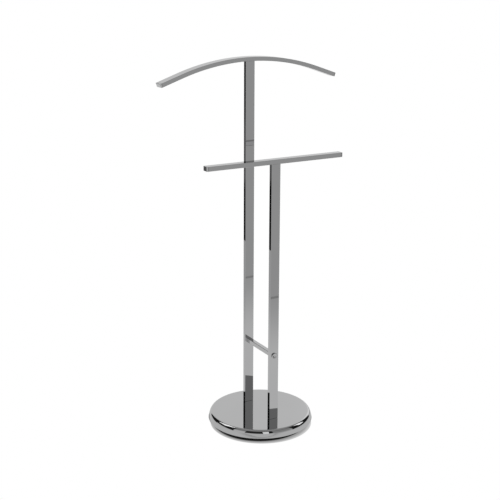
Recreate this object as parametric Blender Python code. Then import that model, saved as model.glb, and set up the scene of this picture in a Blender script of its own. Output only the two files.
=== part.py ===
"""Valet stand: round ballasted base, two flat tube posts, shoulder hanger and trouser bar.

Metres, +Z up.  The origin is the centre of the base's underside.  The hanger and the
trouser bar run along X.  The front, with the short post, faces -Y.
"""
import math

import bmesh
import bpy
from mathutils import Matrix, Vector

# ---------------------------------------------------------------- driving dimensions
GAP = 0.0003                     # clearance between neighbouring pieces
WALL = 0.0012                    # wall of every tube and of the base cover

BASE_HEIGHT = 0.037
COVER_RADIUS = 0.1448            # at the cover's lower edge, its widest place
COVER_BOTTOM_Z = 0.0153          # the cover stops short of the floor
COVER_FLAT_RADIUS = 0.134        # where the flat top ends and the bullnose rim begins
RIM_RADII = (0.00925, 0.01827)   # half axes of the bullnose rim's ellipse, across and up
RIM_END = math.radians(26.2)     # angle on that ellipse where the plain sloping side begins
TRAY_RADIUS = 0.128
TRAY_FLANGE_RADIUS = 0.1428
TRAY_THICKNESS = 0.0016
PAD_THICKNESS = 0.0012
PAD_INNER_RADIUS = 0.095
PAD_OUTER_RADIUS = 0.125
WEIGHT_UPPER_RADIUS = 0.138      # inside the cover, above the tray's flange

POST_SPACING = 0.136             # between the two posts' centre lines, along Y
POST_WIDTH = 0.0262
POST_DEPTH = 0.0108
POST_CORNER = 0.0005

HANGER_TOP_Z = 1.0115            # highest point of the arc
HANGER_DEPTH = 0.030
HANGER_THICKNESS = 0.0105
HANGER_CORNER = 0.0008
HANGER_TOP_RADIUS = 0.6252       # bend radius of the arc's upper face
HANGER_BEND = math.radians(19.1) # from the middle to where each straight end begins
HANGER_HALF_SPAN = 0.2642        # from the middle to the cap's upper outer edge

BAR_BOTTOM_Z = 0.751
BAR_HEIGHT = 0.012
BAR_DEPTH = 0.021
BAR_HALF_LENGTH = 0.203          # to the outside of the end cap
BAR_CORNER = 0.0008

LINK_Z = 0.2226
LINK_SIZE = 0.012
LINK_BOLT_HEAD_RADIUS = 0.0078
LINK_BOLT_HEAD_HEIGHT = 0.0034
LINK_BOLT_RADIUS = 0.003
LINK_BOLT_REACH = 0.018          # length of thread inside the link bar

CAP_FLANGE = 0.004
CAP_PLUG = 0.012
CAP_SIDE_ROUND = 0.0028          # rounding of the cap's two upright edges
CAP_FACE_BEVEL = 0.0007          # softening of its upper and lower edges
PLUG_LENGTH = 0.025
PLUG_CLEARANCE = 0.0004
TONGUE_WIDTH = 0.016             # tongue that passes into the bar above a post
TONGUE_DEPTH = 0.0044
TONGUE_HEIGHT = 0.0042

BOLT_RADIUS = 0.0025             # M5 base bolts, two to a post
BOLT_OFFSET = 0.007
BOLT_HEAD_FLATS = 0.008
BOLT_HEAD_HEIGHT = 0.0035
BOLT_TIP_Z = 0.057
BOLT_BORE_RADIUS = 0.0029
BOLT_POCKET_RADIUS = 0.006
BOLT_POCKET_TOP_Z = 0.016
WASHER_RADIUS = 0.005
WASHER_THICKNESS = 0.001

SCREW_RADIUS = 0.002             # screws that hold the tray
SCREW_HEAD_RADIUS = 0.004
SCREW_HEAD_HEIGHT = 0.002
SCREW_LENGTH = 0.014
SCREW_CIRCLE = 0.080

ROUND_STEPS = 64                 # segments round the base
SMALL_STEPS = 24                 # segments round bolts and washers
CORNER_STEPS = 3                 # segments in a tube's rounded corner
RIM_STEPS = 7                    # segments across the bullnose rim
CAP_STEPS = 4                    # segments across a cap's rounded edge
ARC_STEPS = 28                   # segments along the hanger's bend

FRONT_Y = -POST_SPACING / 2
REAR_Y = POST_SPACING / 2
POST_BOTTOM_Z = BASE_HEIGHT + GAP
RIM_CENTRE = (COVER_FLAT_RADIUS, BASE_HEIGHT - RIM_RADII[1])
TRAY_BOTTOM_Z = PAD_THICKNESS + GAP
FLANGE_BOTTOM_Z = COVER_BOTTOM_Z + GAP
WEIGHT_BOTTOM_Z = TRAY_BOTTOM_Z + TRAY_THICKNESS + GAP
WEIGHT_STEP_Z = FLANGE_BOTTOM_Z + TRAY_THICKNESS + GAP
WEIGHT_TOP_Z = BASE_HEIGHT - WALL - GAP
HANGER_MID_RADIUS = HANGER_TOP_RADIUS - HANGER_THICKNESS / 2
HANGER_CENTRE_Z = HANGER_TOP_Z - HANGER_TOP_RADIUS
SIDES = {"left": -1, "right": 1}


# ---------------------------------------------------------------- scene and materials
def clear_scene():
    for obj in list(bpy.data.objects):
        bpy.data.objects.remove(obj, do_unlink=True)


def make_material(name, colour, roughness, metallic):
    material = bpy.data.materials.new(name)
    material.use_nodes = True
    shader = material.node_tree.nodes["Principled BSDF"]
    shader.inputs["Base Color"].default_value = (*colour, 1.0)
    shader.inputs["Roughness"].default_value = roughness
    shader.inputs["Metallic"].default_value = metallic
    return material


FINISHES = {
    "chrome": ((0.72, 0.72, 0.73), 0.06, 1.0),
    "steel": ((0.55, 0.56, 0.57), 0.30, 1.0),
    "black_paint": ((0.02, 0.02, 0.02), 0.45, 0.0),
    "ballast": ((0.36, 0.35, 0.34), 0.90, 0.0),
    "rubber": ((0.03, 0.03, 0.03), 0.80, 0.0),
}


def add_object(name, bm, finish):
    bmesh.ops.remove_doubles(bm, verts=bm.verts, dist=1e-6)
    bmesh.ops.recalc_face_normals(bm, faces=bm.faces)
    mesh = bpy.data.meshes.new(name)
    bm.to_mesh(mesh)
    bm.free()
    mesh.shade_smooth()
    mesh.set_sharp_from_angle(angle=math.radians(30))
    mesh.materials.append(make_material(name + "_" + finish, *FINISHES[finish]))
    obj = bpy.data.objects.new(name, mesh)
    bpy.context.scene.collection.objects.link(obj)
    return obj


def cut(target, cutter):
    cutter.hide_render = True
    cutter.display_type = "WIRE"
    modifier = target.modifiers.new("cut_" + cutter.name, "BOOLEAN")
    modifier.operation = "DIFFERENCE"
    modifier.solver = "EXACT"
    modifier.object = cutter


# ---------------------------------------------------------------- outlines and solids
def rounded_rectangle(width, depth, radius):
    """Closed outline round the origin, anticlockwise, as (u, v) pairs."""
    points = []
    for quarter in range(4):
        start = math.pi / 2 * quarter
        sign_u = 1 if quarter in (0, 3) else -1
        sign_v = 1 if quarter in (0, 1) else -1
        centre_u = sign_u * (width / 2 - radius)
        centre_v = sign_v * (depth / 2 - radius)
        for step in range(CORNER_STEPS + 1):
            angle = start + math.pi / 2 * step / CORNER_STEPS
            points.append((centre_u + radius * math.cos(angle), centre_v + radius * math.sin(angle)))
    return points


def circle(radius):
    turn = 2 * math.pi / SMALL_STEPS
    return [(radius * math.cos(turn * i), radius * math.sin(turn * i)) for i in range(SMALL_STEPS)]


def hexagon(flats):
    """A hexagon with as many points as a circle has, so that one can be lofted to the other."""
    points = []
    for i in range(SMALL_STEPS):
        angle = 2 * math.pi * i / SMALL_STEPS
        from_flat = (angle + math.pi / 6) % (math.pi / 3) - math.pi / 6
        reach = flats / 2 / math.cos(from_flat)
        points.append((reach * math.cos(angle), reach * math.sin(angle)))
    return points


def arc_points(centre, radii, start, end, steps):
    """Points on an axis-aligned ellipse in the (r, z) plane, both ends included."""
    points = []
    for i in range(steps + 1):
        angle = start + (end - start) * i / steps
        points.append((centre[0] + radii[0] * math.cos(angle), centre[1] + radii[1] * math.sin(angle)))
    return points


def frame(origin, axis, side):
    """Matrix whose local Z is axis and local X is side, placed at origin."""
    z = Vector(axis).normalized()
    x = Vector(side).normalized()
    y = z.cross(x)
    return Matrix.Translation(Vector(origin)) @ Matrix((x, y, z)).transposed().to_4x4()


def add_ring(bm, outline, matrix, height=0.0):
    return [bm.verts.new(matrix @ Vector((u, v, height))) for u, v in outline]


def join_rings(bm, ring_a, ring_b):
    count = len(ring_a)
    for i in range(count):
        j = (i + 1) % count
        bm.faces.new((ring_a[i], ring_a[j], ring_b[j], ring_b[i]))


def loft(name, sections, finish, matrix=Matrix.Identity(4)):
    """Solid through a stack of (height, outline) sections with flat ends."""
    bm = bmesh.new()
    rings = [add_ring(bm, outline, matrix, height) for height, outline in sections]
    for lower, upper in zip(rings, rings[1:]):
        join_rings(bm, lower, upper)
    bm.faces.new(rings[0])
    bm.faces.new(rings[-1])
    return add_object(name, bm, finish)


def sweep_tube(name, outer, inner, matrices, finish):
    """Hollow tube open at both ends, along a list of frames."""
    bm = bmesh.new()
    outer_rings = [add_ring(bm, outer, matrix) for matrix in matrices]
    inner_rings = [add_ring(bm, inner, matrix) for matrix in matrices]
    for rings in (outer_rings, inner_rings):
        for ring_a, ring_b in zip(rings, rings[1:]):
            join_rings(bm, ring_a, ring_b)
    join_rings(bm, outer_rings[0], inner_rings[0])
    join_rings(bm, outer_rings[-1], inner_rings[-1])
    return add_object(name, bm, finish)


def turn(name, profile, finish, steps=SMALL_STEPS, closed=False, matrix=Matrix.Identity(4)):
    """Solid of revolution round local Z.  A closed profile makes a ring."""
    bm = bmesh.new()
    verts = [bm.verts.new((r, 0.0, z)) for r, z in profile]
    pairs = list(zip(verts, verts[1:]))
    if closed:
        pairs.append((verts[-1], verts[0]))
    edges = [bm.edges.new(pair) for pair in pairs]
    bmesh.ops.spin(bm, geom=verts + edges, cent=(0, 0, 0), axis=(0, 0, 1),
                   angle=2 * math.pi, steps=steps, use_merge=True)
    bmesh.ops.transform(bm, matrix=matrix, verts=bm.verts)
    return add_object(name, bm, finish)


def post_name(y):
    return "front" if y < 0 else "rear"


def bolt_places():
    for y in (REAR_Y, FRONT_Y):
        for side, sign in SIDES.items():
            yield post_name(y), side, Vector((sign * BOLT_OFFSET, y, 0))


def screw_places():
    for i in range(4):
        angle = math.pi / 4 + math.pi / 2 * i
        yield i + 1, Vector((SCREW_CIRCLE * math.cos(angle), SCREW_CIRCLE * math.sin(angle), 0))


# ---------------------------------------------------------------- base
def build_base_cover():
    """Pressed shell, open underneath: flat top, bullnose rim and a slightly sloping side."""
    inner_radii = (RIM_RADII[0] - WALL, RIM_RADII[1] - WALL)
    profile = [(0, BASE_HEIGHT)]
    profile += arc_points(RIM_CENTRE, RIM_RADII, math.pi / 2, RIM_END, RIM_STEPS)
    profile.append((COVER_RADIUS, COVER_BOTTOM_Z))
    profile.append((COVER_RADIUS - WALL, COVER_BOTTOM_Z))
    profile += arc_points(RIM_CENTRE, inner_radii, RIM_END, math.pi / 2, RIM_STEPS)
    profile.append((0, BASE_HEIGHT - WALL))
    return turn("base_cover", profile, "chrome", ROUND_STEPS)


def build_base_tray():
    """Pressed tray that closes the base: a recessed plinth with a flange inside the cover's mouth."""
    inner = TRAY_RADIUS - TRAY_THICKNESS
    floor_z = TRAY_BOTTOM_Z + TRAY_THICKNESS
    flange_top_z = FLANGE_BOTTOM_Z + TRAY_THICKNESS
    profile = [
        (0, floor_z),
        (inner, floor_z),
        (inner, flange_top_z),
        (TRAY_FLANGE_RADIUS, flange_top_z),
        (TRAY_FLANGE_RADIUS, FLANGE_BOTTOM_Z),
        (TRAY_RADIUS, FLANGE_BOTTOM_Z),
    ]
    bend = 0.0015
    bend_centre = (TRAY_RADIUS - bend, TRAY_BOTTOM_Z + bend)
    profile += arc_points(bend_centre, (bend, bend), 0, -math.pi / 2, 3)
    profile.append((0, TRAY_BOTTOM_Z))
    return turn("base_tray", profile, "black_paint", ROUND_STEPS)


def build_base_weight():
    """Ballast that fills the tray and, above a step over the tray's flange, the cover."""
    lower_radius = TRAY_RADIUS - TRAY_THICKNESS - GAP
    chamfer_width = 0.0035
    chamfer_height = 0.0045
    profile = [
        (0, WEIGHT_TOP_Z),
        (WEIGHT_UPPER_RADIUS - chamfer_width, WEIGHT_TOP_Z),
        (WEIGHT_UPPER_RADIUS, WEIGHT_TOP_Z - chamfer_height),
        (WEIGHT_UPPER_RADIUS, WEIGHT_STEP_Z),
        (lower_radius, WEIGHT_STEP_Z),
        (lower_radius, WEIGHT_BOTTOM_Z),
        (0, WEIGHT_BOTTOM_Z),
    ]
    return turn("base_weight", profile, "ballast", ROUND_STEPS)


def build_base_pad():
    profile = [
        (PAD_INNER_RADIUS, PAD_THICKNESS),
        (PAD_OUTER_RADIUS, PAD_THICKNESS),
        (PAD_OUTER_RADIUS, 0),
        (PAD_INNER_RADIUS, 0),
    ]
    return turn("base_pad", profile, "rubber", ROUND_STEPS, closed=True)


def bore_for_bolts(cover, weight, tray):
    """Stepped bores: a wide pocket for the head from below, a close hole above it."""
    profile = [
        (0, BASE_HEIGHT + 0.01),
        (BOLT_BORE_RADIUS, BASE_HEIGHT + 0.01),
        (BOLT_BORE_RADIUS, BOLT_POCKET_TOP_Z),
        (BOLT_POCKET_RADIUS, BOLT_POCKET_TOP_Z),
        (BOLT_POCKET_RADIUS, -0.01),
        (0, -0.01),
    ]
    for post, side, place in bolt_places():
        name = f"bore_{post}_{side}"
        cutter = turn(name, profile, "steel", matrix=Matrix.Translation(place))
        for target in (cover, weight, tray):
            cut(target, cutter)


def screw_profile(margin, tip_margin):
    top = TRAY_BOTTOM_Z + SCREW_HEAD_HEIGHT
    tip = TRAY_BOTTOM_Z + SCREW_LENGTH
    return [
        (0, tip + tip_margin),
        (SCREW_RADIUS + margin, tip + tip_margin),
        (SCREW_RADIUS + margin, top + margin),
        (SCREW_HEAD_RADIUS + margin, TRAY_BOTTOM_Z + margin),
    ]


def build_tray_screws(weight, tray):
    cutter_margin = 0.0004
    for number, place in screw_places():
        matrix = Matrix.Translation(place)
        head = [(SCREW_HEAD_RADIUS, TRAY_BOTTOM_Z), (0, TRAY_BOTTOM_Z)]
        turn(f"tray_screw_{number}", screw_profile(0, 0)[:3] + head, "steel", matrix=matrix)
        mouth = [(SCREW_HEAD_RADIUS + cutter_margin, -0.01), (0, -0.01)]
        profile = screw_profile(cutter_margin, cutter_margin) + mouth
        cutter = turn(f"screw_bore_{number}", profile, "steel", matrix=matrix)
        cut(weight, cutter)
        cut(tray, cutter)


def build_base_bolts():
    head_top = BOLT_POCKET_TOP_Z - GAP - WASHER_THICKNESS - GAP
    head_bottom = head_top - BOLT_HEAD_HEIGHT
    chamfer = 0.0005
    sections = [
        (head_bottom, hexagon(BOLT_HEAD_FLATS - 2 * chamfer)),
        (head_bottom + chamfer, hexagon(BOLT_HEAD_FLATS)),
        (head_top, hexagon(BOLT_HEAD_FLATS)),
        (head_top, circle(BOLT_RADIUS)),
        (BOLT_TIP_Z - chamfer, circle(BOLT_RADIUS)),
        (BOLT_TIP_Z, circle(BOLT_RADIUS - chamfer)),
    ]
    for post, side, place in bolt_places():
        matrix = Matrix.Translation(place)
        loft(f"{post}_bolt_{side}", sections, "steel", matrix)
        washer_heights = (head_top + GAP, head_top + GAP + WASHER_THICKNESS)
        matrices = [matrix @ Matrix.Translation((0, 0, z)) for z in washer_heights]
        rings = (circle(WASHER_RADIUS), circle(BOLT_BORE_RADIUS))
        sweep_tube(f"{post}_washer_{side}", *rings, matrices, "steel")


def build_base():
    cover = build_base_cover()
    tray = build_base_tray()
    weight = build_base_weight()
    build_base_pad()
    bore_for_bolts(cover, weight, tray)
    build_tray_screws(weight, tray)
    build_base_bolts()


# ---------------------------------------------------------------- posts and link
def plug_outline():
    clearance = WALL + PLUG_CLEARANCE
    return rounded_rectangle(POST_WIDTH - 2 * clearance, POST_DEPTH - 2 * clearance, 0.0006)


def link_bolt_cutter(y):
    """Round hole through a post for the bolt that holds the link bar."""
    reach = POST_DEPTH
    matrix = frame((0, y - reach, LINK_Z), (0, 1, 0), (1, 0, 0))
    sections = [(0, circle(LINK_BOLT_RADIUS + 0.0004)), (2 * reach, circle(LINK_BOLT_RADIUS + 0.0004))]
    return loft(f"{post_name(y)}_link_bore", sections, "steel", matrix)


def build_post(y, top_z):
    name = post_name(y)
    outer = rounded_rectangle(POST_WIDTH, POST_DEPTH, POST_CORNER)
    inner = rounded_rectangle(POST_WIDTH - 2 * WALL, POST_DEPTH - 2 * WALL, POST_CORNER / 3)
    matrices = [Matrix.Translation((0, y, z)) for z in (POST_BOTTOM_Z, top_z)]
    post = sweep_tube(f"{name}_post", outer, inner, matrices, "chrome")
    cut(post, link_bolt_cutter(y))


def build_foot_plug(y):
    name = post_name(y)
    sections = [(POST_BOTTOM_Z, plug_outline()), (POST_BOTTOM_Z + PLUG_LENGTH, plug_outline())]
    plug = loft(f"{name}_foot_plug", sections, "steel", Matrix.Translation((0, y, 0)))
    for side, sign in SIDES.items():
        matrix = Matrix.Translation((sign * BOLT_OFFSET, y, POST_BOTTOM_Z))
        bore = [(-0.01, circle(BOLT_BORE_RADIUS)), (PLUG_LENGTH + 0.01, circle(BOLT_BORE_RADIUS))]
        cut(plug, loft(f"{name}_plug_bore_{side}", bore, "steel", matrix))


def build_joint_plug(name, y, post_top_z):
    """Plug in a post's upper end whose tongue passes into the tube above."""
    tongue = rounded_rectangle(TONGUE_WIDTH, TONGUE_DEPTH, 0.0005)
    sections = [
        (post_top_z - PLUG_LENGTH, plug_outline()),
        (post_top_z, plug_outline()),
        (post_top_z, tongue),
        (post_top_z + TONGUE_HEIGHT, tongue),
    ]
    loft(name, sections, "steel", Matrix.Translation((0, y, 0)))


def tongue_slot(name, y, z):
    """Cutter for the slot in the underside of the tube above a post."""
    slot = rounded_rectangle(TONGUE_WIDTH + 0.0008, TONGUE_DEPTH + 0.0008, 0.0006)
    half_height = 0.0025
    sections = [(-half_height, slot), (half_height, slot)]
    return loft(name, sections, "steel", Matrix.Translation((0, y, z)))


def build_link():
    half = POST_SPACING / 2 - POST_DEPTH / 2 - GAP
    outline = rounded_rectangle(LINK_SIZE, LINK_SIZE, 0.0008)
    matrix = frame((0, -half, LINK_Z), (0, 1, 0), (1, 0, 0))
    bar = loft("link_bar", [(0, outline), (2 * half, outline)], "chrome", matrix)
    hole = circle(LINK_BOLT_RADIUS + 0.0004)
    for y in (FRONT_Y, REAR_Y):
        outward = 1 if y > 0 else -1
        start = (0, outward * (half + 0.01), LINK_Z)
        bore_matrix = frame(start, (0, -outward, 0), (1, 0, 0))
        depth = 0.01 + LINK_BOLT_REACH + 0.002
        cut(bar, loft(f"{post_name(y)}_link_thread", [(0, hole), (depth, hole)], "steel", bore_matrix))


def build_link_bolt(y):
    """Round dished head on the post's outer face, shank through the post into the link."""
    outward = 1 if y > 0 else -1
    seat = (0, y + outward * (POST_DEPTH / 2 + GAP), LINK_Z)
    matrix = frame(seat, (0, outward, 0), (1, 0, 0))
    rim = 0.0012
    dish_radius = LINK_BOLT_HEAD_RADIUS - 0.0022
    dish_depth = 0.0012
    shank = POST_DEPTH + LINK_BOLT_REACH
    profile = [(0, LINK_BOLT_HEAD_HEIGHT - dish_depth)]
    profile.append((dish_radius * 0.6, LINK_BOLT_HEAD_HEIGHT - dish_depth * 0.85))
    profile.append((dish_radius, LINK_BOLT_HEAD_HEIGHT - 0.0001))
    rim_centre = (LINK_BOLT_HEAD_RADIUS - rim, LINK_BOLT_HEAD_HEIGHT - rim)
    profile += arc_points(rim_centre, (rim, rim), math.pi / 2, 0, 4)
    profile += [(LINK_BOLT_HEAD_RADIUS, 0), (LINK_BOLT_RADIUS, 0), (LINK_BOLT_RADIUS, -shank), (0, -shank)]
    turn(f"{post_name(y)}_link_bolt", profile, "chrome", matrix=matrix)


def build_posts():
    rear_top = HANGER_TOP_Z - HANGER_THICKNESS - 0.0002 - GAP
    front_top = BAR_BOTTOM_Z - GAP
    build_post(REAR_Y, rear_top)
    build_post(FRONT_Y, front_top)
    build_joint_plug("hanger_joint_plug", REAR_Y, rear_top)
    build_joint_plug("trouser_joint_plug", FRONT_Y, front_top)
    build_link()
    for y in (REAR_Y, FRONT_Y):
        build_foot_plug(y)
        build_link_bolt(y)


# ---------------------------------------------------------------- hanger and trouser bar
def end_cap(name, width, height, corner, matrix):
    """Cap at a tube's end: a plug inside the tube and a flange with rounded upright edges."""
    plug_margin = 2 * (WALL + PLUG_CLEARANCE)
    plug = rounded_rectangle(width - plug_margin, height - plug_margin, 0.0006)
    sections = [(-CAP_PLUG, plug), (0, plug), (0, rounded_rectangle(width, height, corner))]
    for step in range(CAP_STEPS + 1):
        angle = math.pi / 2 * step / CAP_STEPS
        narrower = 2 * CAP_SIDE_ROUND * (1 - math.cos(angle))
        lower = 2 * CAP_FACE_BEVEL if step == CAP_STEPS else 0
        rise = CAP_FLANGE - CAP_SIDE_ROUND * (1 - math.sin(angle))
        sections.append((rise, rounded_rectangle(width - narrower, height - lower, corner)))
    loft(name, sections, "chrome", matrix)


def hanger_end():
    """Middle of the cap flange's inner face on the right, and the tube's direction there."""
    sine = math.sin(HANGER_BEND)
    cosine = math.cos(HANGER_BEND)
    top_x = HANGER_TOP_RADIUS * sine
    straight = (HANGER_HALF_SPAN - top_x) / cosine - CAP_FLANGE
    x = HANGER_MID_RADIUS * sine + straight * cosine
    z = HANGER_CENTRE_Z + HANGER_MID_RADIUS * cosine - straight * sine
    return x, z


def hanger_frames():
    """Frames along the hanger from left to right: straight end, bend, straight end."""
    end_x, end_z = hanger_end()
    end_x -= GAP * math.cos(HANGER_BEND)
    end_z += GAP * math.sin(HANGER_BEND)
    stations = [(-end_x, end_z, -HANGER_BEND)]
    for i in range(ARC_STEPS + 1):
        angle = HANGER_BEND * (2 * i / ARC_STEPS - 1)
        x = HANGER_MID_RADIUS * math.sin(angle)
        z = HANGER_CENTRE_Z + HANGER_MID_RADIUS * math.cos(angle)
        stations.append((x, z, angle))
    stations.append((end_x, end_z, HANGER_BEND))
    frames = []
    for x, z, angle in stations:
        along = (math.cos(angle), 0, -math.sin(angle))
        frames.append(frame((x, REAR_Y, z), along, (0, 1, 0)))
    return frames


def build_hanger():
    outer = rounded_rectangle(HANGER_DEPTH, HANGER_THICKNESS, HANGER_CORNER)
    inner = rounded_rectangle(HANGER_DEPTH - 2 * WALL, HANGER_THICKNESS - 2 * WALL, HANGER_CORNER / 3)
    arc = sweep_tube("hanger_arc", outer, inner, hanger_frames(), "chrome")
    cut(arc, tongue_slot("hanger_slot", REAR_Y, HANGER_TOP_Z - HANGER_THICKNESS))
    end_x, end_z = hanger_end()
    for side, sign in SIDES.items():
        along = (sign * math.cos(HANGER_BEND), 0, -math.sin(HANGER_BEND))
        matrix = frame((sign * end_x, REAR_Y, end_z), along, (0, 1, 0))
        end_cap(f"hanger_cap_{side}", HANGER_DEPTH, HANGER_THICKNESS, HANGER_CORNER, matrix)


def build_trouser_bar():
    outer = rounded_rectangle(BAR_DEPTH, BAR_HEIGHT, BAR_CORNER)
    inner = rounded_rectangle(BAR_DEPTH - 2 * WALL, BAR_HEIGHT - 2 * WALL, BAR_CORNER / 3)
    middle_z = BAR_BOTTOM_Z + BAR_HEIGHT / 2
    flange_x = BAR_HALF_LENGTH - CAP_FLANGE
    tube_x = flange_x - GAP
    frames = [frame((x, FRONT_Y, middle_z), (1, 0, 0), (0, 1, 0)) for x in (-tube_x, tube_x)]
    bar = sweep_tube("trouser_bar", outer, inner, frames, "chrome")
    cut(bar, tongue_slot("trouser_slot", FRONT_Y, BAR_BOTTOM_Z))
    for side, sign in SIDES.items():
        matrix = frame((sign * flange_x, FRONT_Y, middle_z), (sign, 0, 0), (0, 1, 0))
        end_cap(f"trouser_cap_{side}", BAR_DEPTH, BAR_HEIGHT, BAR_CORNER, matrix)


def main():
    clear_scene()
    build_base()
    build_posts()
    build_hanger()
    build_trouser_bar()


main()
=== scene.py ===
"""Valet stand in mirror chrome, standing in a pale studio.

Metres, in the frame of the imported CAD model.  Every outer piece is built again here with finer
curves and softened edges, in exactly the place of its CAD node.  The pieces inside and under the
base and inside the tubes keep their CAD shape and get a material of their own.
"""
import math

import bmesh
import bpy
from mathutils import Matrix, Vector


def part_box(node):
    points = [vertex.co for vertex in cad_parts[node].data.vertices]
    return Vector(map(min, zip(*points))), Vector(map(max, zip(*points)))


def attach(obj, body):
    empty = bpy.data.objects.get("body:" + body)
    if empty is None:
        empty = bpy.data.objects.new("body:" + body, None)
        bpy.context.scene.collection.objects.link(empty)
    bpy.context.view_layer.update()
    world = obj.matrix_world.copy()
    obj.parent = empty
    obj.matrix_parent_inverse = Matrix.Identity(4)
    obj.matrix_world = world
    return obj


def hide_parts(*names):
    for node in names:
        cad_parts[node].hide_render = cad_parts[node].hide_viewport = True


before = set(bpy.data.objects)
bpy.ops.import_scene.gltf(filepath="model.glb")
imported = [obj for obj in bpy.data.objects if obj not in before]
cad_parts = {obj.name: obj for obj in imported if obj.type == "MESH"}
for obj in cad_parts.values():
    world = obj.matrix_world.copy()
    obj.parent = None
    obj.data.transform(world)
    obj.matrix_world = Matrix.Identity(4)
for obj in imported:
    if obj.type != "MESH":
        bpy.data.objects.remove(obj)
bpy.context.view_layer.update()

# ---------------------------------------------------------------- dimensions
GAP = 0.0003                     # clearance between neighbouring pieces
WALL = 0.0012                    # wall of every tube and of the base cover

COVER_FLAT_RADIUS = 0.134        # where the flat top ends and the bullnose rim begins
RIM_RADII = (0.00925, 0.01827)   # half axes of the bullnose rim's ellipse, across and up
RIM_END = math.radians(26.2)     # angle on that ellipse where the plain sloping side begins
RIM_LEAD = 0.0006                # width of the flat top's last ring, which keeps its shading flat
FLAT_RING = 0.06                 # radius of a ring that divides each large flat disc
TOP_RINGS = (0, FLAT_RING, 0.11, 0.13)   # radii of the flat top's centre and its other rings
HEM = 0.0003                     # rounding of the cover's lower edge
TRAY_RADIUS = 0.128              # of the plinth
TRAY_THICKNESS = 0.0016
TRAY_BEND = 0.0015               # rounding of the tray's foot and of the bend under its flange
TRAY_EDGE = 0.0004               # rounding of the flange's outer edge
BOLT_BORE = 0.0029               # radii of the holes in the base
BOLT_POCKET = 0.006
SCREW_BORE = 0.0044

POST_CORNER = 0.0003             # roundings of the long corners of the posts, bars and link bar
BAR_CORNER = 0.0008
LINK_CORNER = 0.0008
TUBE_SOFT = 0.0002               # softening of a tube's ends
TUBE_INNER_TIGHTER = 3           # a tube's inner corners are this many times tighter than its outer ones
LINK_SOFT = 0.0003               # softening of the link bar's ends
LINK_BORE = 0.0034               # radius of the holes for the link bolts
LINK_BORE_DEPTH = 0.020          # how far they go into the link bar

LINK_BOLT_RADIUS = 0.003         # of its shank
LINK_BOLT_TIP = 0.0004           # bevel of the shank's tip
HEAD_RIM = 0.0012                # radius of the head's rolled rim
HEAD_LIP = 0.0022                # width of the rim round the dish
HEAD_UNDERCUT = 0.0002           # bevel under the head
DISH_FLOOR = 0.6                 # share of the dish's radius that is its floor
DISH_DEPTH = 0.0010              # of the floor's edge, below the head's top
DISH_EDGE_DEPTH = 0.0001         # of the dish's own edge
# The pip in the dish's middle and the groove round it: radius, and depth below the head's top.
PIP_PROFILE = ((0, 0.0009), (0.0006, 0.0010), (0.0011, 0.0013), (0.0022, 0.0012))

HANGER_BEND = math.radians(19.1) # from the middle to where each straight end begins
HANGER_THICKNESS = 0.0105
HANGER_TOP_RADIUS = 0.6252       # bend radius of the arc's upper face
FACET_ALLOWANCE = 0.00006        # how far the CAD's coarser caps fall short of the true curve

CAP_FLANGE = 0.004
CAP_PLUG = 0.012
CAP_PLUG_CORNER = 0.0006
CAP_SIDE_ROUND = 0.0028          # rounding of the cap's two upright edges
CAP_FACE_ROUND = 0.0007          # softening of its upper and lower edges
CAP_SEAT = 0.00015               # softening of the edge that meets the tube
PLUG_CLEARANCE = 0.0004

# ---------------------------------------------------------------- fineness of the meshes
CORNER_STEPS = 6                 # segments in a tube's rounded corner
ROUND_STEPS = 192                # segments round the base
BOLT_STEPS = 64                  # segments round a link bolt
ARC_STEPS = 120                  # segments along the hanger's bend
RIM_STEPS = 24                   # segments across the bullnose rim, outside and inside
INNER_RIM_STEPS = 16
EDGE_STEPS = 4                   # segments across the roundings of the cover's and the tray's edges
FLANGE_BEND_STEPS = 6            # segments across the bend under the tray's flange
FOOT_STEPS = 8                   # segments across the tray's foot
HEAD_RIM_STEPS = 8
CAP_STEPS = 10                   # segments across a cap's rounded edge
SHARP_ANGLE = math.radians(50)   # faces that meet at more than this keep a sharp edge
MERGE_DISTANCE = 1e-7            # points nearer than this become one
NORMAL_WEIGHT = 100              # the highest: large faces decide the shared normals
DRILL_REACH = 0.012              # how far a drill reaches to either side of its place


def middle_of(node):
    low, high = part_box(node)
    return (low + high) / 2


FRONT_Y = middle_of("front_post").y
REAR_Y = middle_of("rear_post").y
LINK_Z = middle_of("link_bar").z
SIDES = {"left": -1, "right": 1}


# ---------------------------------------------------------------- node graph helper
# A Mix node's sockets share their names, so they are picked by index.
MIX_FACTOR = 0
MIX_NUMBERS = (2, 3)
MIX_NUMBER_RESULT = 0
MIX_COLOURS = (6, 7)
MIX_COLOUR_RESULT = 2


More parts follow.
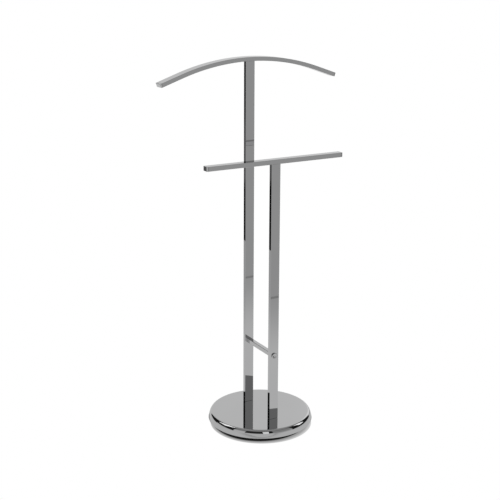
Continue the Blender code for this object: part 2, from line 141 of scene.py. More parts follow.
class Graph:
    """Adds and links shader nodes."""

    def __init__(self, tree):
        self.tree = tree

    def add(self, kind, values=(), **settings):
        node = self.tree.nodes.new(kind)
        for name, value in settings.items():
            setattr(node, name, value)
        for name, value in dict(values).items():
            self.feed(node, name, value)
        return node

    def feed(self, node, name, value):
        """Links a socket into an input, or sets the input to a plain value."""
        if isinstance(value, bpy.types.NodeSocket):
            self.tree.links.new(value, node.inputs[name])
        else:
            node.inputs[name].default_value = value

    def math(self, operation, a, b=0.0, c=0.0):
        return self.add("ShaderNodeMath", {0: a, 1: b, 2: c}, operation=operation).outputs[0]

    def product(self, first, *others):
        result = first
        for other in others:
            result = self.math("MULTIPLY", result, other)
        return result

    def vector_math(self, operation, a, b=(0.0, 0.0, 0.0)):
        return self.add("ShaderNodeVectorMath", {0: a, 1: b}, operation=operation).outputs

    def ramp(self, value, low, high, out_low=0.0, out_high=1.0, smooth=True):
        """Runs from out_low, where value is low, to out_high, where it is high.  Low may be above high."""
        kind = "SMOOTHSTEP" if smooth else "LINEAR"
        values = {"Value": value, "From Min": low, "From Max": high, "To Min": out_low, "To Max": out_high}
        return self.add("ShaderNodeMapRange", values, interpolation_type=kind).outputs["Result"]

    def blend(self, factor, a, b):
        """Number a where factor is 0, and b where it is 1."""
        values = {MIX_FACTOR: factor, MIX_NUMBERS[0]: a, MIX_NUMBERS[1]: b}
        return self.add("ShaderNodeMix", values, data_type="FLOAT").outputs[MIX_NUMBER_RESULT]

    def two_tone(self, factor, dark, light):
        """Colour dark where factor is 0, and light where it is 1."""
        node = self.add("ShaderNodeMix", data_type="RGBA")
        self.feed(node, MIX_FACTOR, factor)
        self.feed(node, MIX_COLOURS[0], (*dark, 1.0))
        self.feed(node, MIX_COLOURS[1], (*light, 1.0))
        return node.outputs[MIX_COLOUR_RESULT]

    def place(self, scale=(1.0, 1.0, 1.0), shift=(0.0, 0.0, 0.0)):
        """Texture coordinates of the piece itself, in metres unless they are scaled."""
        where = self.add("ShaderNodeTexCoord").outputs["Object"]
        values = {"Vector": where, "Scale": scale, "Location": shift}
        return self.add("ShaderNodeMapping", values).outputs["Vector"]

    def noise(self, vector, scale, detail=3.0, roughness=0.5):
        values = {"Vector": vector, "Scale": scale, "Detail": detail, "Roughness": roughness}
        return self.add("ShaderNodeTexNoise", values).outputs["Fac"]

    def cells(self, vector, scale):
        return self.add("ShaderNodeTexVoronoi", {"Vector": vector, "Scale": scale}).outputs["Distance"]


# ---------------------------------------------------------------- materials
# With its coordinates scaled to a fiftieth along one axis, the noise is drawn out into lines along it.
GRAIN_ALONG_X = (0.02, 1.0, 1.0)
GRAIN_ALONG_Y = (1.0, 0.02, 1.0)
GRAIN_ALONG_Z = (1.0, 1.0, 0.02)
BAR_PATTERN_SHIFT = 0.4          # so that the trouser bar's pattern is not the hanger's


def new_material(name):
    material = bpy.data.materials.new(name)
    material.use_nodes = True
    graph = Graph(material.node_tree)
    return material, graph, material.node_tree.nodes["Principled BSDF"]


def dress(graph, shader, colour, roughness, metallic=0.0):
    graph.feed(shader, "Base Color", colour)
    graph.feed(shader, "Roughness", roughness)
    graph.feed(shader, "Metallic", metallic)


def roughen(graph, shader, height, strength, depth):
    """Fine relief of the given depth in metres."""
    bump = graph.add("ShaderNodeBump", {"Strength": strength, "Distance": depth, "Height": height})
    graph.feed(shader, "Normal", bump.outputs["Normal"])


def chrome(name, grain=GRAIN_ALONG_Z, shift=0.0):
    """Mirror plating: faint polishing lines along the piece, smudges and a trace of haze.

    The roughness starts from the clean metal's, and each smudge and line adds its own.
    """
    clean = 0.016
    smudge_haze = 0.012
    line_haze = 0.012
    material, graph, shader = new_material(name)
    plain = graph.place(shift=(shift, 0.0, 0.0))
    brushed = graph.place(scale=grain, shift=(0.0, shift, 0.0))
    smudges = graph.ramp(graph.noise(plain, scale=22.0, detail=4.0), low=0.45, high=0.75)
    lines = graph.ramp(graph.noise(brushed, scale=2600.0, detail=2.0), low=0.66, high=0.74)
    haze = graph.math("MULTIPLY_ADD", smudges, smudge_haze, clean)
    roughness = graph.math("MULTIPLY_ADD", lines, line_haze, haze)
    clouds = graph.noise(plain, scale=9.0, detail=2.0)
    tone = graph.two_tone(clouds, dark=(0.545, 0.548, 0.552), light=(0.580, 0.582, 0.585))
    dress(graph, shader, tone, roughness, metallic=1.0)
    roughen(graph, shader, lines, strength=0.02, depth=0.00001)
    return material


def zinc(name):
    """Plain plated steel with a faint crystalline mottle."""
    material, graph, shader = new_material(name)
    where = graph.place()
    crystals = graph.cells(where, scale=900.0)
    fine = graph.noise(where, scale=2400.0, detail=3.0)
    tone = graph.two_tone(crystals, dark=(0.44, 0.45, 0.47), light=(0.62, 0.63, 0.64))
    roughness = graph.ramp(fine, low=0.2, high=0.8, out_low=0.24, out_high=0.46)
    dress(graph, shader, tone, roughness, metallic=1.0)
    roughen(graph, shader, fine, strength=0.2, depth=0.00003)
    return material


def black_paint(name):
    """Satin black paint with orange peel, dust and faint rubbed patches."""
    material, graph, shader = new_material(name)
    where = graph.place()
    peel = graph.noise(where, scale=900.0, detail=2.0)
    rubbed = graph.noise(where, scale=30.0, detail=5.0, roughness=0.6)
    tone = graph.two_tone(rubbed, dark=(0.010, 0.010, 0.011), light=(0.026, 0.026, 0.027))
    roughness = graph.ramp(rubbed, low=0.25, high=0.75, out_low=0.34, out_high=0.52)
    dress(graph, shader, tone, roughness)
    roughen(graph, shader, peel, strength=0.15, depth=0.00004)
    return material


def cement(name):
    """Cast cement: sandy grain, pores and darker patches."""
    sand_share = 0.45
    patch_share = 0.55
    material, graph, shader = new_material(name)
    where = graph.place()
    sand = graph.noise(where, scale=1500.0, detail=6.0, roughness=0.7)
    patches = graph.noise(where, scale=35.0, detail=5.0)
    pores = graph.ramp(graph.cells(where, scale=260.0), low=0.05, high=0.25)
    mottle = graph.math("ADD", graph.product(sand, sand_share), graph.product(patches, patch_share))
    tone = graph.two_tone(mottle, dark=(0.24, 0.235, 0.225), light=(0.50, 0.49, 0.47))
    roughness = graph.ramp(sand, low=0.2, high=0.8, out_low=0.82, out_high=0.98)
    dress(graph, shader, tone, roughness)
    roughen(graph, shader, graph.math("ADD", sand, pores), strength=0.6, depth=0.0003)
    return material


def rubber(name):
    """Matte black sheet rubber with a fine pebbled face."""
    material, graph, shader = new_material(name)
    where = graph.place()
    pebbles = graph.cells(where, scale=700.0)
    dust = graph.noise(where, scale=60.0, detail=5.0)
    tone = graph.two_tone(dust, dark=(0.018, 0.018, 0.018), light=(0.050, 0.049, 0.047))
    roughness = graph.ramp(dust, low=0.2, high=0.8, out_low=0.62, out_high=0.9)
    dress(graph, shader, tone, roughness)
    roughen(graph, shader, pebbles, strength=0.5, depth=0.0002)
    return material


# ---------------------------------------------------------------- outlines and meshes
def rounded_rectangle(width, depth, radius):
    """Closed outline round the origin, anticlockwise."""
    points = []
    for quarter in range(4):
        sign_u = 1 if quarter in (0, 3) else -1
        sign_v = 1 if quarter in (0, 1) else -1
        centre = (sign_u * (width / 2 - radius), sign_v * (depth / 2 - radius))
        for step in range(CORNER_STEPS + 1):
            angle = math.pi / 2 * (quarter + step / CORNER_STEPS)
            points.append((centre[0] + radius * math.cos(angle), centre[1] + radius * math.sin(angle)))
    return points


def matched_circle(radius):
    """A circle with as many points as a rounded rectangle has, so that the two can be joined."""
    points = []
    for quarter in range(4):
        for step in range(CORNER_STEPS + 1):
            angle = math.pi / 2 * (quarter + (step + 0.5) / (CORNER_STEPS + 1))
            points.append((radius * math.cos(angle), radius * math.sin(angle)))
    return points


def arc_points(centre, radii, start, end, steps):
    points = []
    for i in range(steps + 1):
        angle = start + (end - start) * i / steps
        points.append((centre[0] + radii[0] * math.cos(angle), centre[1] + radii[1] * math.sin(angle)))
    return points


def axes(origin, axis, side):
    """Matrix whose local Z is axis and local X is side, placed at origin."""
    z = Vector(axis).normalized()
    x = Vector(side).normalized()
    return Matrix.Translation(Vector(origin)) @ Matrix((x, z.cross(x), z)).transposed().to_4x4()


def add_ring(bm, outline, matrix, height=0.0):
    return [bm.verts.new(matrix @ Vector((u, v, height))) for u, v in outline]


def join_rings(bm, ring_a, ring_b):
    for i in range(len(ring_a)):
        j = (i + 1) % len(ring_a)
        bm.faces.new((ring_a[i], ring_a[j], ring_b[j], ring_b[i]))


def weight_normals(piece):
    """Keeps real corners sharp, and each large flat face flat where it runs into a small rounded edge."""
    piece.data.set_sharp_from_angle(angle=SHARP_ANGLE)
    modifier = piece.modifiers.new("normals", "WEIGHTED_NORMAL")
    modifier.mode = "FACE_AREA"
    modifier.weight = NORMAL_WEIGHT
    modifier.keep_sharp = True


def finish_piece(name, bm, material, nodes):
    """Makes the mesh a smooth-shaded piece on the root body, in the place of its CAD nodes."""
    bmesh.ops.remove_doubles(bm, verts=bm.verts, dist=MERGE_DISTANCE)
    bmesh.ops.recalc_face_normals(bm, faces=bm.faces)
    mesh = bpy.data.meshes.new(name)
    bm.to_mesh(mesh)
    bm.free()
    mesh.shade_smooth()
    mesh.materials.append(material)
    piece = bpy.data.objects.new(name, mesh)
    bpy.context.scene.collection.objects.link(piece)
    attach(piece, "root")
    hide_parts(*nodes)
    weight_normals(piece)
    return piece


def loft(name, sections, material, nodes, matrix):
    """Solid through a list of heights and outlines, closed at both ends."""
    bm = bmesh.new()
    rings = [add_ring(bm, outline, matrix, height) for height, outline in sections]
    for lower, upper in zip(rings, rings[1:]):
        join_rings(bm, lower, upper)
    bm.faces.new(rings[0])
    bm.faces.new(rings[-1])
    return finish_piece(name, bm, material, nodes)


def tube(name, width, depth, corner, matrices, material, nodes):
    """Hollow rounded tube with softened ends, through a list of frames."""
    outer = rounded_rectangle(width, depth, corner)
    end = rounded_rectangle(width - 2 * TUBE_SOFT, depth - 2 * TUBE_SOFT, corner - TUBE_SOFT)
    inner = rounded_rectangle(width - 2 * WALL, depth - 2 * WALL, corner / TUBE_INNER_TIGHTER)
    first, last = matrices[0], matrices[-1]
    bm = bmesh.new()
    rings = [add_ring(bm, end, first)]
    rings.append(add_ring(bm, outer, first, TUBE_SOFT))
    rings += [add_ring(bm, outer, matrix) for matrix in matrices[1:-1]]
    rings.append(add_ring(bm, outer, last, -TUBE_SOFT))
    rings.append(add_ring(bm, end, last))
    rings += [add_ring(bm, inner, matrix) for matrix in reversed(matrices)]
    for ring_a, ring_b in zip(rings, rings[1:] + rings[:1]):
        join_rings(bm, ring_a, ring_b)
    return finish_piece(name, bm, material, nodes)


def turned(name, profile, material, nodes, steps=ROUND_STEPS, matrix=Matrix.Identity(4)):
    """Solid of revolution round local Z."""
    bm = bmesh.new()
    verts = [bm.verts.new((r, 0.0, z)) for r, z in profile]
    edges = [bm.edges.new(pair) for pair in zip(verts, verts[1:])]
    bmesh.ops.spin(bm, geom=verts + edges, cent=(0, 0, 0), axis=(0, 0, 1),
                   angle=2 * math.pi, steps=steps, use_merge=True)
    bmesh.ops.transform(bm, matrix=matrix, verts=bm.verts)
    return finish_piece(name, bm, material, nodes)


def drill(piece, places, radius, axis):
    """Cuts round holes through a piece and keeps the cut mesh.

    The normals modifier is off meanwhile, so that it isn't applied to the mesh as well.
    """
    bm = bmesh.new()
    for place in places:
        matrix = axes(place, axis, (1, 0, 0))
        circle = matched_circle(radius)
        rings = [add_ring(bm, circle, matrix, height) for height in (-DRILL_REACH, DRILL_REACH)]
        join_rings(bm, *rings)
        bm.faces.new(rings[0])
        bm.faces.new(rings[1])
    bmesh.ops.recalc_face_normals(bm, faces=bm.faces)
    mesh = bpy.data.meshes.new("drill")
    bm.to_mesh(mesh)
    bm.free()
    cutter = bpy.data.objects.new("drill", mesh)
    bpy.context.scene.collection.objects.link(cutter)
    piece.modifiers["normals"].show_viewport = False
    modifier = piece.modifiers.new("hole", "BOOLEAN")
    modifier.operation = "DIFFERENCE"
    modifier.solver = "EXACT"
    modifier.object = cutter
    bpy.context.view_layer.update()
    evaluated = piece.evaluated_get(bpy.context.evaluated_depsgraph_get())
    piece.data = bpy.data.meshes.new_from_object(evaluated)
    piece.modifiers.remove(modifier)
    piece.modifiers["normals"].show_viewport = True
    bpy.data.objects.remove(cutter, do_unlink=True)
    piece.data.set_sharp_from_angle(angle=SHARP_ANGLE)


# ---------------------------------------------------------------- base
def build_cover(bolt_places):
    """Pressed cover: flat top, bullnose rim, plain sloping side and a softly hemmed lower edge."""
    low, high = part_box("base_cover")
    centre = (COVER_FLAT_RADIUS, high.z - RIM_RADII[1])
    inner_radii = (RIM_RADII[0] - WALL, RIM_RADII[1] - WALL)
    outer_hem = (high.x - HEM, low.z + HEM)
    inner_hem = (high.x - WALL + HEM, low.z + HEM)
    profile = [(r, high.z) for r in (*TOP_RINGS, COVER_FLAT_RADIUS - RIM_LEAD)]
    profile += arc_points(centre, RIM_RADII, math.pi / 2, RIM_END, RIM_STEPS)
    profile += arc_points(outer_hem, (HEM, HEM), 0, -math.pi / 2, EDGE_STEPS)
    profile += arc_points(inner_hem, (HEM, HEM), -math.pi / 2, -math.pi, EDGE_STEPS)
    profile += arc_points(centre, inner_radii, RIM_END, math.pi / 2, INNER_RIM_STEPS)
    profile += [(FLAT_RING, high.z - WALL), (0, high.z - WALL)]
    cover = turned("base_cover_fine", profile, chrome("chrome_cover", grain=GRAIN_ALONG_X), ["base_cover"])
    drill(cover, [(x, y, high.z) for x, y in bolt_places], BOLT_BORE, (0, 0, 1))


def build_tray(bolt_places):
    """Black tray: recessed plinth with a rolled foot and a flange inside the cover."""
    low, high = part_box("base_tray")
    inner = TRAY_RADIUS - TRAY_THICKNESS
    floor_z = low.z + TRAY_THICKNESS
    flange_z = high.z - TRAY_THICKNESS
    edge_centre = (high.x - TRAY_EDGE, high.z - TRAY_EDGE)
    bend_centre = (TRAY_RADIUS + TRAY_BEND, flange_z - TRAY_BEND)
    foot_centre = (TRAY_RADIUS - TRAY_BEND, low.z + TRAY_BEND)
    profile = [(0, floor_z), (FLAT_RING, floor_z), (inner, floor_z), (inner, high.z)]
    profile.append((edge_centre[0], high.z))
    profile += arc_points(edge_centre, (TRAY_EDGE, TRAY_EDGE), math.pi / 2, 0, EDGE_STEPS)
    profile += [(high.x, flange_z), (bend_centre[0], flange_z)]
    profile += arc_points(bend_centre, (-TRAY_BEND, TRAY_BEND), math.pi / 2, 0, FLANGE_BEND_STEPS)
    profile += arc_points(foot_centre, (TRAY_BEND, TRAY_BEND), 0, -math.pi / 2, FOOT_STEPS)
    profile += [(FLAT_RING, low.z), (0, low.z)]
    tray = turned("base_tray_fine", profile, black_paint("paint_tray"), ["base_tray"])
    drill(tray, [(x, y, low.z) for x, y in bolt_places], BOLT_POCKET, (0, 0, 1))
    screws = [middle_of(f"tray_screw_{number}") for number in (1, 2, 3, 4)]
    drill(tray, [(spot.x, spot.y, low.z) for spot in screws], SCREW_BORE, (0, 0, 1))


def build_base():
    bolts = [middle_of(f"{post}_bolt_{side}") for post in ("front", "rear") for side in SIDES]
    places = [(spot.x, spot.y) for spot in bolts]
    build_cover(places)
    build_tray(places)


# ---------------------------------------------------------------- posts, link and bars
def build_posts():
    """Both posts, each with the hole for its link bolt."""
    for name, y in (("front", FRONT_Y), ("rear", REAR_Y)):
        low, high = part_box(f"{name}_post")
        size = high - low
        matrices = [Matrix.Translation((0, y, z)) for z in (low.z, high.z)]
        skin = chrome(f"chrome_{name}_post", shift=y)
        post = tube(f"{name}_post_fine", size.x, size.y, POST_CORNER, matrices, skin, [f"{name}_post"])
        drill(post, [(0, y, LINK_Z)], LINK_BORE, (0, 1, 0))


def build_link():
    """Square bar with a blind hole in each end, and its two bolts."""
    low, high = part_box("link_bar")
    size = high.x - low.x
    length = high.y - low.y
    side = rounded_rectangle(size, size, LINK_CORNER)
    end = rounded_rectangle(size - 2 * LINK_SOFT, size - 2 * LINK_SOFT, LINK_CORNER - LINK_SOFT)
    hole = matched_circle(LINK_BORE)
    sections = [
        (LINK_BORE_DEPTH, hole),
        (0, hole),
        (0, end),
        (LINK_SOFT, side),
        (length - LINK_SOFT, side),
        (length, end),
        (length, hole),
        (length - LINK_BORE_DEPTH, hole),
    ]
    matrix = axes((0, low.y, LINK_Z), (0, 1, 0), (1, 0, 0))
    loft("link_bar_fine", sections, chrome("chrome_link", grain=GRAIN_ALONG_Y), ["link_bar"], matrix)
    for name in ("front", "rear"):
        build_link_bolt(name)


def build_link_bolt(name):
    """Dished round head with a softly rolled rim and a small centre pip."""
    node = f"{name}_link_bolt"
    post_low, post_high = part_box(f"{name}_post")
    low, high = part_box(node)
    outward = -1 if name == "front" else 1
    face = post_low.y if name == "front" else post_high.y
    seat = face + outward * GAP
    top = low.y if name == "front" else high.y
    tip = high.y if name == "front" else low.y
    head = abs(top - seat)
    shank = abs(tip - seat)
    radius = (high.x - low.x) / 2
    dish = radius - HEAD_LIP
    profile = [(r, head - depth) for r, depth in PIP_PROFILE]
    profile += [(dish * DISH_FLOOR, head - DISH_DEPTH), (dish, head - DISH_EDGE_DEPTH)]
    rim_centre = (radius - HEAD_RIM, head - HEAD_RIM)
    profile += arc_points(rim_centre, (HEAD_RIM, HEAD_RIM), math.pi / 2, 0, HEAD_RIM_STEPS)
    profile += [(radius, HEAD_UNDERCUT), (radius - HEAD_UNDERCUT, 0), (LINK_BOLT_RADIUS, 0)]
    profile += [(LINK_BOLT_RADIUS, LINK_BOLT_TIP - shank), (LINK_BOLT_RADIUS - LINK_BOLT_TIP, -shank)]
    profile += [(0, -shank)]
    matrix = axes((0, seat, LINK_Z), (0, outward, 0), (1, 0, 0))
    skin = chrome(f"chrome_{name}_bolt")
    turned(f"{name}_link_bolt_fine", profile, skin, [node], BOLT_STEPS, matrix=matrix)


def cap(node, width, height, corner, matrix):
    """End cap with rounded upright edges and a softened face, and the plug that holds it in the tube."""
    margin = 2 * (WALL + PLUG_CLEARANCE)
    plug = rounded_rectangle(width - margin, height - margin, CAP_PLUG_CORNER)
    back = rounded_rectangle(width - 2 * CAP_SEAT, height - 2 * CAP_SEAT, corner - CAP_SEAT)
    full = rounded_rectangle(width, height, corner)
    sections = [(-CAP_PLUG, plug), (0, plug), (0, back), (CAP_SEAT, full)]
    for step in range(CAP_STEPS + 1):
        angle = math.pi / 2 * step / CAP_STEPS
        rise = CAP_FLANGE - CAP_SIDE_ROUND * (1 - math.sin(angle))
        narrower = CAP_SIDE_ROUND * (1 - math.cos(angle))
        into_face = min(max((rise - CAP_FLANGE) / CAP_FACE_ROUND + 1, 0.0), 1.0)
        lower = CAP_FACE_ROUND * (1 - math.sqrt(1 - into_face ** 2))
        sections.append((rise, rounded_rectangle(width - 2 * narrower, height - 2 * lower, corner)))
    loft(node + "_fine", sections, chrome("chrome_" + node, grain=GRAIN_ALONG_X), [node], matrix)


def build_hanger():
    """Arc with two straight ends, each with its cap.  The caps' outermost points set its span."""
    low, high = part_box("hanger_arc")
    cap_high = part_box("hanger_cap_right")[1]
    depth = high.y - low.y
    sine = math.sin(HANGER_BEND)
    cosine = math.cos(HANGER_BEND)
    mid_radius = HANGER_TOP_RADIUS - HANGER_THICKNESS / 2
    centre_z = high.z - HANGER_TOP_RADIUS
    cap_reach = HANGER_THICKNESS / 2 - CAP_FACE_ROUND
    outermost = cap_high.x - cap_reach * sine
    straight = (outermost - mid_radius * sine) / cosine - CAP_FLANGE - FACET_ALLOWANCE
    end_x = mid_radius * sine + straight * cosine
    end_z = centre_z + mid_radius * cosine - straight * sine
    stations = [(-end_x + GAP * cosine, end_z + GAP * sine, -HANGER_BEND)]
    for i in range(ARC_STEPS + 1):
        angle = HANGER_BEND * (2 * i / ARC_STEPS - 1)
        stations.append((mid_radius * math.sin(angle), centre_z + mid_radius * math.cos(angle), angle))
    stations.append((end_x - GAP * cosine, end_z + GAP * sine, HANGER_BEND))
    matrices = [axes((x, REAR_Y, z), (math.cos(a), 0, -math.sin(a)), (0, 1, 0)) for x, z, a in stations]
    skin = chrome("chrome_hanger", grain=GRAIN_ALONG_X)
    tube("hanger_arc_fine", depth, HANGER_THICKNESS, BAR_CORNER, matrices, skin, ["hanger_arc"])
    for side, sign in SIDES.items():
        matrix = axes((sign * end_x, REAR_Y, end_z), (sign * cosine, 0, -sine), (0, 1, 0))
        cap(f"hanger_cap_{side}", depth, HANGER_THICKNESS, BAR_CORNER, matrix)


def build_trouser_bar():
    """Straight flat tube with its two caps."""
    low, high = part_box("trouser_bar")
    depth = high.y - low.y
    height = high.z - low.z
    middle = (low.z + high.z) / 2
    matrices = [axes((x, FRONT_Y, middle), (1, 0, 0), (0, 1, 0)) for x in (low.x, high.x)]
    skin = chrome("chrome_trouser_bar", grain=GRAIN_ALONG_X, shift=BAR_PATTERN_SHIFT)
    tube("trouser_bar_fine", depth, height, BAR_CORNER, matrices, skin, ["trouser_bar"])
    for side, sign in SIDES.items():
        matrix = axes((sign * (high.x + GAP), FRONT_Y, middle), (sign, 0, 0), (0, 1, 0))
        cap(f"trouser_cap_{side}", depth, height, BAR_CORNER, matrix)


def dress_inner_pieces():
    """Gives each CAD node that is still shown its material.  A replaced node is hidden already."""
    for name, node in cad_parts.items():
        if node.hide_render:
            continue
        if name == "base_weight":
            skin = cement("cement_" + name)
        elif name == "base_pad":
            skin = rubber("rubber_" + name)
        else:
            skin = zinc("zinc_" + name)
        node.data.materials.clear()
        node.data.materials.append(skin)


# ---------------------------------------------------------------- camera
CAMERA_YAW = math.radians(29.73)
CAMERA_PITCH = math.radians(16.05)
CAMERA_ROLL = math.radians(0.213)
CAMERA_PLACE = Vector((-1.3908, -2.3745, 1.2936))
CAMERA_LENS = 76.536             # millimetres
CAMERA_SENSOR = 36.0             # millimetres


def build_camera():
    """Looks along +Y turned by the yaw towards +X, and down by the pitch, with a trace of roll."""
    data = bpy.data.cameras.new("camera")
    data.lens = CAMERA_LENS
    data.sensor_width = CAMERA_SENSOR
    camera = bpy.data.objects.new("camera", data)
    look = Vector((
        math.sin(CAMERA_YAW) * math.cos(CAMERA_PITCH),
        math.cos(CAMERA_YAW) * math.cos(CAMERA_PITCH),
        -math.sin(CAMERA_PITCH),
    ))
    level = Vector((math.cos(CAMERA_YAW), -math.sin(CAMERA_YAW), 0))
    upright = level.cross(look)
    right = math.cos(CAMERA_ROLL) * level + math.sin(CAMERA_ROLL) * upright
    up = -math.sin(CAMERA_ROLL) * level + math.cos(CAMERA_ROLL) * upright
    turn = Matrix((right, up, -look)).transposed().to_4x4()
    camera.matrix_world = Matrix.Translation(CAMERA_PLACE) @ turn
    bpy.context.scene.collection.objects.link(camera)
    bpy.context.scene.camera = camera


# ---------------------------------------------------------------- studio
# Azimuths run anticlockwise from +X and elevations up from the horizon, both in degrees.
# The strengths of the walls, drapes and floor are brightnesses, with 1 as plain white.
DRAPE = 0.012
FRONT_DRAPE = 0.03
SKIRTING = 0.66
CEILING = 0.34


def heading(degrees):
    """Level unit vector towards an azimuth."""
    angle = math.radians(degrees)
    return (math.cos(angle), math.sin(angle), 0.0)


def build_world():
    """Studio round the stand, as the chrome shows it: dark drapes, a pale back wall and pale panels.

    The camera itself sees plain white.
    """
    world = bpy.data.worlds.new("studio")
    bpy.context.scene.world = world
    world.use_nodes = True
    tree = world.node_tree
    tree.nodes.clear()
    graph = Graph(tree)
    where = graph.add("ShaderNodeTexCoord").outputs["Generated"]
    split = graph.add("ShaderNodeSeparateXYZ", {0: where})
    flat = graph.add("ShaderNodeCombineXYZ", {"X": split.outputs["X"], "Y": split.outputs["Y"]})
    level = graph.vector_math("NORMALIZE", flat.outputs[0])[0]

    def sector(first, last, soft):
        """1 between two azimuths and 0 elsewhere.  Each edge fades from soft inside it to soft outside."""
        centre = (first + last) / 2
        half = (last - first) / 2
        toward = graph.vector_math("DOT_PRODUCT", level, heading(centre))["Value"]
        low = math.cos(math.radians(half + soft))
        high = math.cos(math.radians(max(half - soft, 0)))
        return graph.ramp(toward, low, high)

    def climb(low, high, at_low=0.0, at_high=1.0):
        """Runs from at_low, at elevation low, to at_high, at elevation high.  Low may be above high."""
        limits = (math.sin(math.radians(low)), math.sin(math.radians(high)))
        return graph.ramp(split.outputs["Z"], *limits, at_low, at_high)

    back_wall_foot = climb(-19, -16.5, at_low=0.75, at_high=DRAPE)
    front_wall = graph.blend(climb(-2, 3), 0.45, climb(6, 11, at_low=0.52, at_high=0.32))
    front_wall = graph.blend(climb(34, 40), front_wall, 0.18)
    left_gap = graph.blend(climb(-10.5, -8), climb(-12.8, -12, at_low=DRAPE, at_high=0.12), 0.03)
    left_skirting = graph.product(sector(132, 180, 3), climb(7, 3))
    front_skirting = graph.product(sector(-155, -90, 3), climb(12, 7))
    side_panel = graph.blend(climb(22, 27), 0.66, climb(36, 44, at_low=0.36, at_high=0.10))
    back_wall = climb(28, 62, at_low=0.745, at_high=0.36)
    back_glow = climb(8, 16, at_low=0.80, at_high=1.05)

    # Each area is laid over the ones before it.
    areas = (
        (sector(64, 112, 3), back_wall_foot),
        (sector(-160, -116, 6), FRONT_DRAPE),
        (sector(-91.5, -46, 1.5), front_wall),
        (graph.product(sector(112, 127, 3), climb(4, 0)), left_gap),
        (graph.math("MAXIMUM", left_skirting, front_skirting), SKIRTING),
        (sector(180, 206.5, 1), side_panel),
        (sector(19, 98, 3), back_wall),
        (graph.product(sector(24, 54, 4), climb(40, 34)), back_glow),
        (climb(38, 58), CEILING),
    )
    glow = DRAPE
    for area, brightness in areas:
        glow = graph.blend(area, glow, brightness)
    seen = graph.add("ShaderNodeLightPath").outputs["Is Camera Ray"]
    glow = graph.blend(seen, glow, 1.0)
    white = (1.0, 1.0, 1.0, 1.0)
    back = graph.add("ShaderNodeBackground", {"Color": white, "Strength": glow})
    graph.add("ShaderNodeOutputWorld", {"Surface": back.outputs[0]})


FLOOR_DROP = 0.0002              # how far the floor lies below the stand's underside
FLOOR_SOUTH = -1.075
FLOOR_NORTH = 2.3
FLOOR_EAST = 1.2
FLOOR_WEST = (-1.2, -0.86)       # at the south and the north edge
DIM_STRIP = (0.02, 0.025)        # the dim strip along the south edge ends between these widths
SHADE_CENTRE = (0.0017, -0.0010, 0.0)   # middle of the circle outside which the camera sees white
SHADE_RADIUS = 0.1412                   # that circle's radius
SHADE_FADE = (0.0005, 0.0015)           # width of its edge, inside and outside
GLOOM_CENTRE = (-0.0030, 0.0017, 0.0)   # middle of the painted deep shade under the cover
FLOOR_DARK = 0.02                       # the darkest brightness on the floor


def floor_strengths(graph):
    """What the chrome shows of the floor, and what the camera sees of it.

    The chrome shows a wide pool of painted light with a dimmer front edge, painted shade round the base,
    and a dark stretch on the right.  The camera sees white, but for a painted shadow under and round the
    cover.
    """
    where = graph.add("ShaderNodeTexCoord").outputs["Object"]
    split = graph.add("ShaderNodeSeparateXYZ", {0: where})
    from_middle = graph.vector_math("LENGTH", where)["Value"]
    from_shade = graph.vector_math("DISTANCE", where, SHADE_CENTRE)["Value"]
    from_gloom = graph.vector_math("DISTANCE", where, GLOOM_CENTRE)["Value"]

    # Painted light: the floor glows brighter near the stand and dimmer further out.
    pool = graph.ramp(from_middle, low=0.55, high=1.25, out_low=0.70, out_high=0.47)
    strip_ends = [FLOOR_SOUTH + width for width in DIM_STRIP]
    edge = graph.ramp(split.outputs["Y"], *strip_ends, out_low=0.65, smooth=False)
    # Painted shade round the base, as the chrome shows the floor.
    painted_contact_shade = graph.ramp(from_gloom, low=0.142, high=0.185, out_low=FLOOR_DARK)
    # The floor is dark on the right, except towards its front.
    right = graph.ramp(split.outputs["X"], low=0.36, high=0.44)
    behind_front = graph.ramp(split.outputs["Y"], low=-0.5, high=-0.42)
    pool = graph.blend(graph.product(right, behind_front), pool, FLOOR_DARK)
    mirrored = graph.product(pool, edge, painted_contact_shade)

    # Painted shadow on the floor as the camera sees it: near black deep under the cover, lighter towards
    # its edge, and white beyond.
    painted_deep_shade = graph.ramp(from_gloom, low=0.1255, high=0.1305, out_low=FLOOR_DARK, out_high=0.33, smooth=False)
    soft = graph.ramp(from_middle, low=0.1315, high=SHADE_RADIUS, out_high=0.27, smooth=False)
    open_floor = graph.ramp(from_shade, SHADE_RADIUS - SHADE_FADE[0], SHADE_RADIUS + SHADE_FADE[1])
    direct_with_painted_shadow = graph.blend(open_floor, graph.math("ADD", painted_deep_shade, soft), 1.0)
    return mirrored, direct_with_painted_shadow


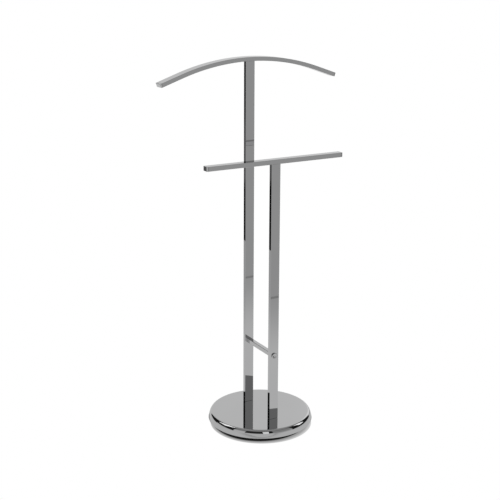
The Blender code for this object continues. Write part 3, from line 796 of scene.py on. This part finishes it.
def build_floor():
    """Pale floor that gives its own light.  It is clear from below, so that the underside can be seen."""
    bm = bmesh.new()
    corners = [(FLOOR_WEST[0], FLOOR_SOUTH), (FLOOR_EAST, FLOOR_SOUTH)]
    corners += [(FLOOR_EAST, FLOOR_NORTH), (FLOOR_WEST[1], FLOOR_NORTH)]
    bm.faces.new([bm.verts.new((x, y, -FLOOR_DROP)) for x, y in corners])
    mesh = bpy.data.meshes.new("floor")
    bm.to_mesh(mesh)
    bm.free()
    floor = bpy.data.objects.new("floor", mesh)
    bpy.context.scene.collection.objects.link(floor)
    material = bpy.data.materials.new("floor")
    material.use_nodes = True
    tree = material.node_tree
    tree.nodes.clear()
    graph = Graph(tree)
    mirrored, direct_with_painted_shadow = floor_strengths(graph)
    seen = graph.add("ShaderNodeLightPath").outputs["Is Camera Ray"]
    shine = graph.add("ShaderNodeEmission", {"Strength": graph.blend(seen, mirrored, direct_with_painted_shadow)})
    below = graph.add("ShaderNodeNewGeometry").outputs["Backfacing"]
    clear = graph.add("ShaderNodeBsdfTransparent")
    both = graph.add("ShaderNodeMixShader", {0: below, 1: shine.outputs[0], 2: clear.outputs[0]})
    graph.add("ShaderNodeOutputMaterial", {"Surface": both.outputs[0]})
    mesh.materials.append(material)


LIGHT_DISTANCE = 2.4
# Name, azimuth, elevation, width, height and brightness.
SOFT_BOXES = (
    ("left_box", 143, 42.0, 0.98, 1.28, 1.5),
    ("front_box", -107.5, 22.5, 0.50, 1.16, 1.0),
    ("right_box", -19, 27.5, 0.67, 1.24, 1.4),
)


def build_lights():
    """Three soft boxes, which show as the bright glints on the base's rim."""
    for name, azimuth, elevation, width, height, brightness in SOFT_BOXES:
        data = bpy.data.lights.new(name, "AREA")
        data.shape = "RECTANGLE"
        data.size = width
        data.size_y = height
        data.energy = brightness * math.pi * width * height
        light = bpy.data.objects.new(name, data)
        tilt = math.radians(elevation)
        out = Vector(heading(azimuth)) * math.cos(tilt) + Vector((0, 0, math.sin(tilt)))
        light.location = out * LIGHT_DISTANCE
        light.rotation_mode = "QUATERNION"
        light.rotation_quaternion = out.to_track_quat("Z", "Y")
        light.visible_camera = False
        bpy.context.scene.collection.objects.link(light)


def main():
    build_base()
    build_posts()
    build_link()
    build_hanger()
    build_trouser_bar()
    dress_inner_pieces()
    build_camera()
    build_world()
    build_floor()
    build_lights()
    bpy.context.scene.view_settings.view_transform = "Standard"


main()
